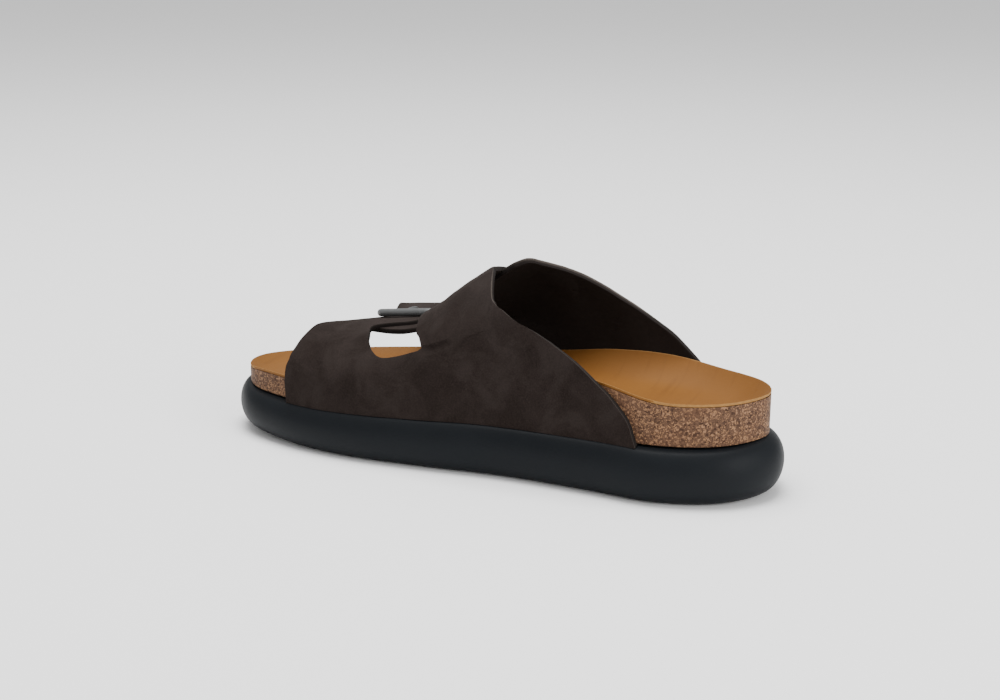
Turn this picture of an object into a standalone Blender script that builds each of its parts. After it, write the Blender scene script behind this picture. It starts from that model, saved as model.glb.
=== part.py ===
# Chunky sandal with two buckled straps on a cork footbed, for the right foot.
# X runs to the inner side of the foot, Y to the heel and Z up. The origin is on the floor under the middle.
import bmesh
import bpy
import numpy as np
from math import acos, cos, hypot, pi, radians, sin, sqrt

# Driving sizes, in metres
LENGTH = 0.270
WIDTH = 0.1008
SOLE_HEEL = 0.0256
SOLE_MIDDLE = 0.0249
SOLE_TOE = 0.0190
TOE_SPRING = 0.0040
HEEL_SPRING = 0.0020
BULGE = 0.0091
LEDGE = 0.0069
TOE_NARROW = 0.30
RIM_HEIGHT = 0.0194
ROLL_HEEL = 0.018
ROLL_TOE = 0.009
INSOLE = 0.0011
WALL = 0.0024
INSTEP = 0.0970
RIM_TUCK = 0.0020
GAP = 0.0003
FUSE = 0.0006
ROD = 0.0035
PRONG = 0.0018
# The tongues that the buckles close, as a share of LENGTH, and the room beside them in the frame
TONGUE_WIDTH = 0.091
BUCKLE_SIDE_GAP = 0.0012
BUCKLE_LENGTH = TONGUE_WIDTH * LENGTH + 2 * (ROD + BUCKLE_SIDE_GAP)
BUCKLE_PITCH = 0.0165
BUCKLE_CORNER = 0.0040
SLOT_GAP = 0.0004
SLOT_LENGTH = 0.0070
SLOT_HEIGHT = 0.0146
BAR_TURN_STEPS = 4

# Mesh fineness
SHARP_ANGLE = radians(40)
MERGE_GRID = 0.00005
HALF_POINTS = 42
SIDE_RINGS = 9
FRONT_COLUMNS = 8
REAR_COLUMNS = 12
ROW_STEP = 0.0625

# Outline of the sole: station from the heel as a share of the length, offset as a share of the width
OUTLINE_INNER = [
    (0.045, 0.239), (0.160, 0.386), (0.280, 0.381), (0.430, 0.386), (0.570, 0.440),
    (0.720, 0.475), (0.860, 0.428), (0.955, 0.314),
]
OUTLINE_OUTER = [
    (0.955, -0.220), (0.860, -0.399), (0.740, -0.499), (0.630, -0.525),
    (0.460, -0.465), (0.330, -0.416), (0.160, -0.393), (0.045, -0.244),
]
TOE_TIP = 0.097

# Rise of the floor line at the ends: station it starts from, reach
TOE_RISE = (0.74, 0.26)
HEEL_RISE = 0.12
# The toe narrows from here to the tip, and the rims meet within this share of each end
NARROW_FROM = 0.86
RIM_MEET = 0.10

# Footbed: station, inner rim, outer rim and floor above the sole, as shares of RIM_HEIGHT
FOOTBED = [
    (0.000, 1.000, 1.000, 0.520), (0.150, 1.000, 1.000, 0.490), (0.200, 1.100, 1.070, 0.490),
    (0.240, 1.230, 1.130, 0.500), (0.290, 1.350, 1.140, 0.520), (0.360, 1.410, 1.060, 0.550),
    (0.450, 1.290, 0.820, 0.520), (0.550, 0.990, 0.630, 0.430), (0.650, 0.670, 0.540, 0.350),
    (0.750, 0.540, 0.490, 0.290), (0.850, 0.590, 0.430, 0.260), (0.930, 0.580, 0.320, 0.240),
    (0.960, 0.500, 0.320, 0.245), (1.000, 0.400, 0.400, 0.260),
]

# Last: station, crown height as a share of INSTEP, squareness of the section
LAST = [
    (0.150, 0.900, 1.85), (0.260, 0.970, 1.85), (0.315, 0.995, 1.90), (0.370, 1.000, 1.95),
    (0.407, 0.993, 2.00), (0.444, 0.974, 2.05), (0.481, 0.938, 2.10), (0.500, 0.910, 2.15),
    (0.522, 0.873, 2.15), (0.548, 0.819, 2.20), (0.570, 0.766, 2.20), (0.593, 0.718, 2.20),
    (0.622, 0.658, 2.25), (0.637, 0.631, 2.30), (0.667, 0.590, 2.35), (0.704, 0.559, 2.45),
    (0.741, 0.536, 2.50), (0.790, 0.526, 2.50), (0.852, 0.517, 2.50), (0.920, 0.498, 2.50),
]
# The front strap stays on this lower, straight crown where the rear strap already climbs
FRONT_CROWN = [(0.560, 0.604), (0.740, 0.536), (0.790, 0.526), (0.852, 0.517)]
BLEND_FROM = 0.537
BLEND_TO = 0.300
SIDE_SHARE = 0.75

# Straps: place round the foot (1 inner base, 0 crown, -1 outer base), front edge and rear edge as stations
INNER_FRONT = [
    (1.000, 0.8425, 0.590), (0.750, 0.8445, 0.590), (0.600, 0.844, 0.590), (0.537, 0.8415, 0.590),
    (0.5245, 0.8415, 0.606), (0.510, 0.842, 0.6255), (0.498, 0.842, 0.643), (0.482, 0.842, 0.655),
    (0.457, 0.842, 0.665), (0.425, 0.8415, 0.674), (0.385, 0.841, 0.683), (0.350, 0.841, 0.691),
    (0.300, 0.841, 0.700), (0.225, 0.841, 0.7145), (0.190, 0.842, 0.7185), (0.145, 0.844, 0.7265),
    (0.100, 0.845, 0.7345), (0.075, 0.842, 0.7375), (0.058, 0.837, 0.736), (0.045, 0.831, 0.730),
    (0.034, 0.826, 0.717), (0.026, 0.821, 0.701), (0.018, 0.815, 0.685), (0.008, 0.808, 0.674),
    (-0.010, 0.796, 0.667), (-0.040, 0.774, 0.664), (-0.080, 0.757, 0.662), (-0.120, 0.752, 0.662),
    (-0.480, 0.752, 0.662), (-0.530, 0.748, 0.667), (-0.560, 0.738, 0.677), (-0.575, 0.723, 0.692),
]
INNER_REAR = [
    (1.000, 0.590, 0.1985), (0.900, 0.590, 0.2095), (0.854, 0.590, 0.2185), (0.776, 0.590, 0.248),
    (0.740, 0.590, 0.268), (0.690, 0.590, 0.292), (0.650, 0.590, 0.316), (0.620, 0.590, 0.339),
    (0.568, 0.590, 0.377), (0.555, 0.590, 0.386), (0.545, 0.590, 0.395), (0.537, 0.590, 0.402),
    (0.531, 0.5835, 0.407), (0.522, 0.5815, 0.414), (0.500, 0.5835, 0.428), (0.460, 0.5895, 0.446),
    (0.425, 0.5945, 0.461), (0.385, 0.603, 0.472), (0.333, 0.609, 0.478), (0.250, 0.616, 0.485),
    (0.170, 0.625, 0.493), (0.100, 0.631, 0.503), (0.020, 0.634, 0.521), (-0.050, 0.632, 0.526),
    (-0.120, 0.629, 0.527), (-0.165, 0.626, 0.526), (-0.200, 0.620, 0.526), (-0.230, 0.612, 0.531),
    (-0.300, 0.602, 0.530), (-0.450, 0.594, 0.524), (-0.600, 0.586, 0.516), (-0.660, 0.581, 0.513),
    (-0.690, 0.571, 0.517), (-0.710, 0.560, 0.527), (-0.718, 0.549, 0.538),
]
OUTER_FRONT = [
    (-1.000, 0.722, 0.625), (-0.750, 0.724, 0.625), (-0.600, 0.726, 0.625), (-0.555, 0.728, 0.625),
    (-0.540, 0.729, 0.631), (-0.520, 0.730, 0.635), (-0.490, 0.732, 0.638), (-0.450, 0.736, 0.640),
    (-0.400, 0.742, 0.641), (-0.300, 0.754, 0.642), (-0.200, 0.764, 0.642), (-0.100, 0.770, 0.643),
    (0.000, 0.766, 0.645), (0.015, 0.760, 0.647), (0.030, 0.751, 0.649), (0.041, 0.737, 0.6515),
    (0.060, 0.715, 0.657), (0.072, 0.704, 0.664), (0.080, 0.695, 0.669), (0.086, 0.684, 0.676),
]
OUTER_REAR = [
    (-1.000, 0.625, 0.190), (-0.740, 0.625, 0.192), (-0.690, 0.625, 0.212), (-0.637, 0.625, 0.234),
    (-0.600, 0.625, 0.252), (-0.555, 0.625, 0.280), (-0.540, 0.620, 0.289), (-0.520, 0.617, 0.301),
    (-0.480, 0.616, 0.328), (-0.430, 0.617, 0.360), (-0.360, 0.620, 0.399), (-0.300, 0.623, 0.434),
    (-0.255, 0.624, 0.455), (-0.200, 0.624, 0.470), (-0.160, 0.618, 0.475), (-0.130, 0.605, 0.481),
    (-0.112, 0.590, 0.487), (-0.100, 0.568, 0.504),
]
# The inner piece rises on to the outer one between these places round the foot
LIFT_FROM = 0.45
LIFT_TO = 0.16
# Buckles: station, place of the upper bar round the foot, height of the flat frame off the curved leather,
# slack of the tongue over the hinge bar
BUCKLE_FRONT = (0.7095, -0.055, 0.0003, 0.0006)
BUCKLE_REAR = (0.5620, -0.290, 0.0012, 0.0014)
ARCH_FLAT = 0.0026
ARCH_REACH = 0.0092
# Steps along and round the last that its normals and the buckle bars are measured over
NORMAL_STEP = (0.004, 0.012)
BAR_STEP = 0.04
# Prong: reach from the hinge bar beyond touching it, height above the bar
PRONG_PATH = [(0.0, 0.0), (0.0012, 0.0008), (0.0024, 0.0018), (0.0042, 0.0023)]
# The tip lies against the near bar in this direction: off the leather, back to the hinge bar
PRONG_TIP = (0.45, 0.89)


def clear_scene():
    for item in list(bpy.data.objects):
        bpy.data.objects.remove(item)


def smooth(share):
    share = min(max(share, 0.0), 1.0)
    return share * share * (3 - 2 * share)


def column(table, index, station):
    rows = sorted(table)
    return float(np.interp(station, [row[0] for row in rows], [row[index] for row in rows]))


def y_at(station):
    return LENGTH * (0.5 - station)


def station_at(y):
    return 0.5 - y / LENGTH


# Sole outline: a smooth closed curve from the heel by the inner side to the toe and back
def outline_curve(count=960):
    table = [(0.0, 0.0)] + OUTLINE_INNER + [(1.0, TOE_TIP)] + OUTLINE_OUTER
    points = np.array([(offset * WIDTH, y_at(station)) for station, offset in table])
    after = np.roll(points, -1, axis=0)
    steps = np.sqrt(np.linalg.norm(after - points, axis=1))
    before_steps = np.roll(steps, 1)
    slopes_after = (after - points) / steps[:, None]
    slopes_before = np.roll(slopes_after, 1, axis=0)
    weight = (before_steps / (before_steps + steps))[:, None]
    tangents = slopes_before * (1 - weight) + slopes_after * weight
    knots = np.concatenate(([0], np.cumsum(steps)))
    curve = []
    for along in np.linspace(0, knots[-1], count, endpoint=False):
        index = min(int(np.searchsorted(knots, along, side="right")) - 1, len(points) - 1)
        step = steps[index]
        share = (along - knots[index]) / step
        following = (index + 1) % len(points)
        curve.append(
            (2 * share ** 3 - 3 * share ** 2 + 1) * points[index]
            + (share ** 3 - 2 * share ** 2 + share) * step * tangents[index]
            + (3 * share ** 2 - 2 * share ** 3) * points[following]
            + (share ** 3 - share ** 2) * step * tangents[following]
        )
    curve = np.array(curve)
    return curve - (curve.max(axis=0) + curve.min(axis=0)) / 2


CURVE = outline_curve()
TANGENTS = np.roll(CURVE, -1, axis=0) - np.roll(CURVE, 1, axis=0)
OUTWARD = np.column_stack((-TANGENTS[:, 1], TANGENTS[:, 0]))
OUTWARD = OUTWARD / np.linalg.norm(OUTWARD, axis=1)[:, None]
OUTWARD = OUTWARD if OUTWARD[len(OUTWARD) // 4, 0] > 0 else -OUTWARD
HEEL_INDEX = int(CURVE[:, 1].argmax())
TOE_INDEX = int(CURVE[:, 1].argmin())


def inset_curve(inset):
    # The round of the sole and the ledge are narrower at the toe
    stations = station_at(CURVE[:, 1])
    toe = np.clip((stations - NARROW_FROM) / (1 - NARROW_FROM), 0, 1)
    share = 1 - TOE_NARROW * toe * toe * (3 - 2 * toe)
    return CURVE - OUTWARD * (inset * share)[:, None]


def half(curve, side):
    rolled = np.roll(curve, -HEEL_INDEX, axis=0)
    turn = (TOE_INDEX - HEEL_INDEX) % len(curve)
    if side > 0:
        return rolled[:turn + 1]
    return np.vstack((rolled[turn:], rolled[:1]))[::-1]


def loop_indices():
    # The same points on every ring: even steps from heel to toe on each side
    picked = []
    for side in (1, -1):
        side_points = half(CURVE, side)
        lengths = np.concatenate(([0], np.cumsum(np.linalg.norm(np.diff(side_points, axis=0), axis=1))))
        wanted = np.linspace(0, lengths[-1], HALF_POINTS + 1)
        nearest = [int(abs(lengths - value).argmin()) for value in wanted]
        if side > 0:
            picked.append([(HEEL_INDEX + index) % len(CURVE) for index in nearest])
        else:
            picked.append([(HEEL_INDEX - index) % len(CURVE) for index in nearest])
    return picked[0] + picked[1][1:-1][::-1]


LOOP = loop_indices()


def wall_x(side, y, inset):
    points = half(inset_curve(inset), side)
    order = np.argsort(points[:, 1])
    return float(np.interp(y, points[order, 1], points[order, 0]))


# Heights of the sole
ROUND_END = acos(1 - (LEDGE - GAP) / BULGE)


def floor_z(y):
    station = station_at(y)
    toe = max(0.0, (station - TOE_RISE[0]) / TOE_RISE[1]) ** 2 * TOE_SPRING
    heel = max(0.0, (HEEL_RISE - station) / HEEL_RISE) ** 2 * HEEL_SPRING
    return toe + heel


def sole_thickness(y):
    table = [(0.0, SOLE_HEEL), (0.5, SOLE_MIDDLE), (0.75, (SOLE_MIDDLE + SOLE_TOE) / 2), (1.0, SOLE_TOE)]
    return column(table, 1, station_at(y))


def sole_z(y, inset):
    half_height = sole_thickness(y) / (1 + sin(ROUND_END))
    across = min(max((BULGE - inset) / BULGE, cos(ROUND_END)), 1.0)
    return floor_z(y) + half_height * (1 + sqrt(1 - across * across))


def top_z(y):
    return sole_z(y, LEDGE)


def rim_z(side, y):
    return top_z(y) + RIM_HEIGHT * column(FOOTBED, 1 if side > 0 else 2, station_at(y))


def bed_z(y):
    return top_z(y) + RIM_HEIGHT * column(FOOTBED, 3, station_at(y))


# Mesh helpers
def turn_outward(mesh):
    shape = bmesh.new()
    shape.from_mesh(mesh)
    bmesh.ops.recalc_face_normals(shape, faces=shape.faces)
    shape.to_mesh(mesh)
    shape.free()


def make_object(name, vertices, faces, material):
    mesh = bpy.data.meshes.new(name)
    mesh.from_pydata([tuple(map(float, vertex)) for vertex in vertices], [], faces)
    mesh.update()
    turn_outward(mesh)
    mesh.shade_smooth()
    mesh.set_sharp_from_angle(angle=SHARP_ANGLE)
    item = bpy.data.objects.new(name, mesh)
    bpy.context.scene.collection.objects.link(item)
    if material:
        mesh.materials.append(material)
    return item


def make_material(name, colour, roughness, metallic=0.0):
    material = bpy.data.materials.new(name)
    material.use_nodes = True
    shader = material.node_tree.nodes["Principled BSDF"]
    shader.inputs["Base Color"].default_value = (*colour, 1)
    shader.inputs["Roughness"].default_value = roughness
    shader.inputs["Metallic"].default_value = metallic
    return material


def ring_faces(start_a, start_b, count):
    # Quads between two rings, turned outward where ring b lies above ring a
    return [
        (start_a + i, start_a + (i + 1) % count, start_b + (i + 1) % count, start_b + i)
        for i in range(count)
    ]


def rib_faces(start, count, upward):
    # Closes a ring with quads between its inner and outer halves
    faces = []
    middle = count // 2
    for i in range(middle):
        quad = [start + i, start + i + 1, start + (count - i - 1) % count, start + (count - i) % count]
        quad = list(dict.fromkeys(quad))
        faces.append(tuple(quad if upward else quad[::-1]))
    return faces


# Outsole
def build_outsole(material):
    count = len(LOOP)
    angles = np.linspace(-pi / 2, ROUND_END, SIDE_RINGS)
    vertices = []
    for angle in angles:
        ring = inset_curve(BULGE * (1 - cos(angle)))[LOOP]
        for x, y in ring:
            half_height = sole_thickness(y) / (1 + sin(ROUND_END))
            vertices.append((x, y, floor_z(y) + half_height * (1 + sin(angle))))
    faces = []
    for level in range(SIDE_RINGS - 1):
        faces += ring_faces(level * count, (level + 1) * count, count)
    faces += rib_faces(0, count, False)
    faces += rib_faces((SIDE_RINGS - 1) * count, count, True)
    return make_object("outsole", vertices, faces, material)


# Footbed rings: each point moves inward to the middle line, at the ends to the centre of the round
ROLL_SHARES = (0.0, 0.07, 0.18, 0.36, 0.62, 1.0)
ROLL_CHANGE = (0.35, 0.40)
END_CENTRE = 0.16


def footbed_rings():
    wall = inset_curve(LEDGE)[LOOP]
    rings = []
    for share in ROLL_SHARES:
        ring = []
        for x, y in wall:
            side = 1 if x > 0 else -1
            station = min(max(station_at(y), END_CENTRE), 1 - END_CENTRE)
            centre_y = y_at(station)
            centre_x = (wall_x(1, centre_y, LEDGE) + wall_x(-1, centre_y, LEDGE)) / 2
            reach = hypot(centre_x - x, centre_y - y)
            change = smooth((station_at(y) - ROLL_CHANGE[0]) / ROLL_CHANGE[1])
            roll = ROLL_HEEL + (ROLL_TOE - ROLL_HEEL) * change
            move = share * roll / reach
            inward = (x + (centre_x - x) * move, y + (centre_y - y) * move)
            rim = rim_z(side, y)
            from_end = min(station_at(y), 1 - station_at(y))
            middle = (rim_z(1, y) + rim_z(-1, y)) / 2
            rim = middle + (rim - middle) * smooth(from_end / RIM_MEET)
            bed = bed_z(inward[1])
            ring.append((*inward, bed + (rim - bed) * (1 - share) ** 2))
        rings.append(ring)
    return rings


def raised(rings, lift):
    return [(x, y, z + lift) for ring in rings for x, y, z in ring]


def build_cork(rings, material):
    count = len(LOOP)
    bottom = [(x, y, top_z(y) + GAP) for x, y, _ in rings[0]]
    vertices = bottom + raised(rings, -INSOLE - GAP)
    faces = rib_faces(0, count, False)
    for level in range(len(rings)):
        faces += ring_faces(level * count, (level + 1) * count, count)
    faces += rib_faces(len(rings) * count, count, True)
    return make_object("cork_midsole", vertices, faces, material)


def build_insole(rings, material):
    count = len(LOOP)
    under = raised(rings, -INSOLE)
    over = raised(rings, 0.0)
    levels = len(rings)
    vertices = under + over
    faces = [face[::-1] for level in range(levels - 1)
             for face in ring_faces(level * count, (level + 1) * count, count)]
    faces += rib_faces((levels - 1) * count, count, False)
    faces += ring_faces(0, levels * count, count)
    for level in range(levels, 2 * levels - 1):
        faces += ring_faces(level * count, (level + 1) * count, count)
    faces += rib_faces((2 * levels - 1) * count, count, True)
    return make_object("insole", vertices, faces, material)


# The last as a surface: station along the foot, place round the foot
def crown_z(station, place, is_front):
    height = column(LAST, 1, station)
    if is_front:
        straight = column(FRONT_CROWN, 1, station)
        share = smooth((BLEND_FROM - abs(place)) / (BLEND_FROM - BLEND_TO))
        height -= max(0.0, height - straight) * share
    return height * INSTEP


def skin(station, place, is_front):
    side = 1 if place >= 0 else -1
    y = y_at(station)
    inset = LEDGE - GAP - WALL
    wall = wall_x(side, y, inset)
    centre = (wall_x(1, y, inset) + wall_x(-1, y, inset)) / 4
    rim = rim_z(side, y) - RIM_TUCK
    around = abs(place)
    if around >= SIDE_SHARE:
        share = (around - SIDE_SHARE) / (1 - SIDE_SHARE)
        foot = sole_z(y, inset) + GAP
        return np.array((wall, y, rim + (foot - rim) * share))
    turn = (1 - around / SIDE_SHARE) * pi / 2
    power = 2 / column(LAST, 2, station)
    x = centre + (wall - centre) * max(cos(turn), 0.0) ** power
    z = rim + (crown_z(station, place, is_front) - rim) * sin(turn) ** power
    return np.array((x, y, z))


def skin_normal(station, place, is_front):
    low = max(place - NORMAL_STEP[1], -1.0)
    high = min(place + NORMAL_STEP[1], 1.0)
    ahead = skin(station + NORMAL_STEP[0], place, is_front)
    along = ahead - skin(station - NORMAL_STEP[0], place, is_front)
    around = skin(station, high, is_front) - skin(station, low, is_front)
    normal = np.cross(along, around)
    normal /= np.linalg.norm(normal)
    outward = skin(station, place, is_front) - np.array((0.0, y_at(station), top_z(y_at(station))))
    return normal if normal @ outward > 0 else -normal


def place_at_distance(station, start, distance, is_front):
    # Follows the section outward from a place round the foot by a distance
    places = np.linspace(start, -SIDE_SHARE, 120)
    points = np.array([skin(station, place, is_front) for place in places])
    lengths = np.concatenate(([0], np.cumsum(np.linalg.norm(np.diff(points, axis=0), axis=1))))
    return float(np.interp(distance, lengths, places))


def section_distance(station, start, place, is_front):
    # Signed length along the section from one place to another
    places = np.linspace(start, place, 12)
    points = np.array([skin(station, value, is_front) for value in places])
    length = float(np.linalg.norm(np.diff(points, axis=0), axis=1).sum())
    return length if place < start else -length


def arch_rise(distance, room):
    # The tongue steps over the hinge bar of the buckle
    share = (ARCH_REACH - abs(distance)) / (ARCH_REACH - ARCH_FLAT)
    return smooth(share) * (room + ROD + 2 * GAP + FUSE)


def inner_lift(place, buckle, hinge, is_front):
    lift = smooth((LIFT_FROM - place) / (LIFT_FROM - LIFT_TO)) * (WALL - FUSE)
    if place < hinge + 0.3:
        distance = section_distance(buckle[0], hinge, place, is_front)
        lift += arch_rise(distance, buckle[2] + buckle[3])
    return lift


def strap_rows(table, other):
    joined = {row[0] for row in table + other if abs(row[0]) >= BLEND_FROM}
    own = {row[0] for row in table}
    lowest = min(own)
    highest = max(own)
    places = sorted(joined | own)
    even = [value * ROW_STEP for value in range(-16, 17)]
    for value in even:
        clear = min(abs(value - place) for place in places)
        if lowest < value < highest and clear > ROW_STEP * 0.3:
            places.append(value)
    return sorted(place for place in places if lowest <= place <= highest)


def strap_grid(table, other, columns, is_front, lift):
    rows = strap_rows(table, other)
    outer = []
    inner = []
    for place in rows:
        front = column(table, 1, place)
        rear = column(table, 2, place)
        for index in range(columns + 1):
            station = front + (rear - front) * index / columns
            point = skin(station, place, is_front)
            normal = skin_normal(station, place, is_front)
            over = point + normal * lift(place)
            under = over - normal * WALL
            if abs(place) == 1:
                under[2] = top_z(y_at(station)) + GAP
            outer.append(over)
            inner.append(under)
    width = columns + 1
    quads = []
    for row in range(len(rows) - 1):
        for corner in range(row * width, row * width + columns):
            quads.append((corner, corner + 1, corner + 1 + width, corner + width))
    return outer, inner, quads


def build_shell(name, grids, material):
    # Joins strap grids along their shared edge and gives them a wall
    outer = []
    inner = []
    quads = []
    seen = {}
    for grid_outer, grid_inner, grid_quads in grids:
        numbers = []
        for over, under in zip(grid_outer, grid_inner):
            key = tuple(np.round(over / MERGE_GRID).astype(int))
            if key not in seen:
                seen[key] = len(outer)
                outer.append(over)
                inner.append(under)
            numbers.append(seen[key])
        quads += [tuple(numbers[corner] for corner in quad) for quad in grid_quads]
    count = len(outer)
    edges = {}
    for quad in quads:
        for start, end in zip(quad, quad[1:] + quad[:1]):
            edges[(start, end)] = edges.get((start, end), 0) + 1
    faces = list(quads) + [tuple(corner + count for corner in quad[::-1]) for quad in quads]
    for start, end in edges:
        if (end, start) not in edges:
            faces.append((end, start, start + count, end + count))
    return make_object(name, outer + inner, faces, material)


def hide_helper(item):
    item.hide_render = True
    item.display_type = "WIRE"


def add_boolean(item, other, operation):
    modifier = item.modifiers.new(operation.lower(), "BOOLEAN")
    modifier.operation = operation
    modifier.solver = "EXACT"
    modifier.object = other


# Buckles
def buckle_frame(buckle, is_front):
    station, place, height, _ = buckle
    hinge = place_at_distance(station, place, BUCKLE_PITCH, is_front)
    middle = (place + hinge) / 2
    along = skin(station + BAR_STEP, middle, is_front) - skin(station - BAR_STEP, middle, is_front)
    along /= np.linalg.norm(along)

    def bar_centre(where, layers):
        normal = skin_normal(station, where, is_front)
        normal -= along * (normal @ along)
        normal /= np.linalg.norm(normal)
        return skin(station, where, is_front) + normal * (layers + height + GAP + ROD / 2), normal

    near, near_normal = bar_centre(place, WALL - FUSE)
    far, far_normal = bar_centre(hinge, 0.0)
    # The frame is a true rectangle, so its bars slide along themselves until they face each other
    slide = along * ((near - far) @ along) / 2
    return {
        "hinge": hinge, "height": height, "along": along,
        "near": near - slide, "near_normal": near_normal,
        "far": far + slide, "far_normal": far_normal,
    }


def frame_across(frame):
    across = frame["near"] - frame["far"]
    pitch = float(np.linalg.norm(across))
    return across / pitch, pitch


def rod_curve(name, points, thickness, cyclic, material):
    curve = bpy.data.curves.new(name, "CURVE")
    curve.dimensions = "3D"
    curve.bevel_depth = thickness / 2
    curve.bevel_resolution = 2
    curve.use_fill_caps = True
    spline = curve.splines.new("POLY")
    spline.points.add(len(points) - 1)
    for knot, point in zip(spline.points, points):
        knot.co = (*point, 1)
    spline.use_cyclic_u = cyclic
    item = bpy.data.objects.new(name, curve)
    bpy.context.scene.collection.objects.link(item)
    curve.materials.append(material)
    return item


def build_buckle(name, frame, material):
    across, pitch = frame_across(frame)
    centre = (frame["near"] + frame["far"]) / 2
    half_length = (BUCKLE_LENGTH - ROD) / 2
    half_pitch = pitch / 2
    points = []
    for side_a, side_b, start in ((1, 1, 0), (-1, 1, 1), (-1, -1, 2), (1, -1, 3)):
        for step in range(BAR_TURN_STEPS + 1):
            angle = pi / 2 * (start + step / BAR_TURN_STEPS)
            offset_a = side_a * (half_length - BUCKLE_CORNER) + BUCKLE_CORNER * cos(angle)
            offset_b = side_b * (half_pitch - BUCKLE_CORNER) + BUCKLE_CORNER * sin(angle)
            points.append(centre + frame["along"] * offset_a + across * offset_b)
    return rod_curve(name, points, ROD, True, material)


def build_prong(name, frame, material):
    across, _ = frame_across(frame)
    clear = ROD / 2 + GAP + PRONG / 2
    path = []
    for reach, height in PRONG_PATH:
        path.append(frame["far"] + across * (clear + reach) + frame["far_normal"] * height)
    rest = frame["near_normal"] * PRONG_TIP[0] - across * PRONG_TIP[1]
    path.append(frame["near"] + rest * clear)
    return rod_curve(name, path, PRONG, False, material)


def build_slot(name, frame):
    # The hole in the tongue that the prong comes up through
    across, _ = frame_across(frame)
    half_width = PRONG / 2 + SLOT_GAP
    start = ROD / 2 + GAP - SLOT_GAP
    end = start + SLOT_LENGTH
    low = -(ROD / 2 + GAP + frame["height"]) - FUSE
    corners = []
    for height in (low, low + SLOT_HEIGHT):
        for reach, side in ((start, -1), (end, -1), (end, 1), (start, 1)):
            sideways = across * reach + frame["along"] * side * half_width
            corners.append(frame["far"] + sideways + frame["far_normal"] * height)
    faces = [(3, 2, 1, 0), (4, 5, 6, 7)] + [(i, (i + 1) % 4, (i + 1) % 4 + 4, i + 4) for i in range(4)]
    item = make_object(name, corners, faces, None)
    hide_helper(item)
    return item


def main():
    clear_scene()
    rubber = make_material("rubber", (0.010, 0.012, 0.014), 0.62)
    cork = make_material("cork", (0.28, 0.13, 0.06), 0.85)
    leather = make_material("lining leather", (0.50, 0.27, 0.09), 0.6)
    nubuck = make_material("nubuck", (0.030, 0.022, 0.018), 0.9)
    lacquer = make_material("lacquered metal", (0.020, 0.022, 0.024), 0.45, 0.3)
    build_outsole(rubber)
    rings = footbed_rings()
    build_cork(rings, cork)
    build_insole(rings, leather)
    front = buckle_frame(BUCKLE_FRONT, True)
    rear = buckle_frame(BUCKLE_REAR, False)
    inner_piece = build_shell("upper", [
        strap_grid(INNER_FRONT, INNER_REAR, FRONT_COLUMNS, True,
                   lambda place: inner_lift(place, BUCKLE_FRONT, front["hinge"], True)),
        strap_grid(INNER_REAR, INNER_FRONT, REAR_COLUMNS, False,
                   lambda place: inner_lift(place, BUCKLE_REAR, rear["hinge"], False)),
    ], nubuck)
    outer_piece = build_shell("outer_piece", [
        strap_grid(OUTER_FRONT, OUTER_REAR, FRONT_COLUMNS, True, lambda place: 0.0),
        strap_grid(OUTER_REAR, OUTER_FRONT, REAR_COLUMNS, False, lambda place: 0.0),
    ], nubuck)
    hide_helper(outer_piece)
    add_boolean(inner_piece, outer_piece, "UNION")
    for name, frame in (("front", front), ("rear", rear)):
        add_boolean(inner_piece, build_slot("slot_" + name, frame), "DIFFERENCE")
        build_buckle("buckle_" + name, frame, lacquer)
        build_prong("prong_" + name, frame, lacquer)


main()
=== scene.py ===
# Right sandal: two buckled straps, a cork footbed and a thick rounded sole, dressed over its CAD frame
from math import acos, cos, pi, radians, sin

import bmesh
import bpy
import numpy as np
from mathutils import Matrix, Vector, noise


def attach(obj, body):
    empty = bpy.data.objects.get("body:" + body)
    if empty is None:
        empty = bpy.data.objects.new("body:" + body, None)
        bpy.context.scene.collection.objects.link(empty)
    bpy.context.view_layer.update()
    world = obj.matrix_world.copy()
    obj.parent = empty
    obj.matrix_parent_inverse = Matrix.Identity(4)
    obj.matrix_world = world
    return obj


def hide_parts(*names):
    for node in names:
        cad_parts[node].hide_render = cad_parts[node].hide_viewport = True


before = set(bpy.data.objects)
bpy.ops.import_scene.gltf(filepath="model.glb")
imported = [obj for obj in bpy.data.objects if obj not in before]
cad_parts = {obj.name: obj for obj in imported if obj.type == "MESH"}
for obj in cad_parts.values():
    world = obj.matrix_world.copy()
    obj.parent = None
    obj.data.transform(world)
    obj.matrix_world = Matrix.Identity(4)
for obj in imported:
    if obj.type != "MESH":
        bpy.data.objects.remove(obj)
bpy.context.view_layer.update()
print("frame loaded")

# Small helpers


def smooth(share):
    share = np.clip(share, 0.0, 1.0)
    return share * share * (3 - 2 * share)


def pick(table, index, at):
    rows = sorted(table)
    return np.interp(at, [row[0] for row in rows], [row[index] for row in rows])


def hexColour(code):  # sRGB hex to linear
    parts = [int(code[i:i + 2], 16) / 255 for i in (1, 3, 5)]
    return tuple(c / 12.92 if c <= 0.04045 else ((c + 0.055) / 1.055) ** 2.4 for c in parts) + (1.0,)


def addNode(tree, kind, settings=None, values=None, links=None):
    node = tree.nodes.new("ShaderNode" + kind)
    for key, value in (settings or {}).items():
        setattr(node, key, value)
    for key, value in (values or {}).items():
        node.inputs[key].default_value = value
    for key, socket in (links or {}).items():
        tree.links.new(socket, node.inputs[key])
    return node


def startMaterial(name, values):
    material = bpy.data.materials.new(name)
    material.use_nodes = True
    tree = material.node_tree
    shader = tree.nodes["Principled BSDF"]
    for key, value in values.items():
        shader.inputs[key].default_value = value
    where = addNode(tree, "TexCoord").outputs["Object"]
    return material, tree, shader, where


def addPiece(name, mesh, materials, nodes):
    piece = bpy.data.objects.new(name, mesh)
    bpy.context.scene.collection.objects.link(piece)
    for material in materials:
        mesh.materials.append(material)
    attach(piece, "root")
    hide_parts(*nodes)
    return piece


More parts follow.
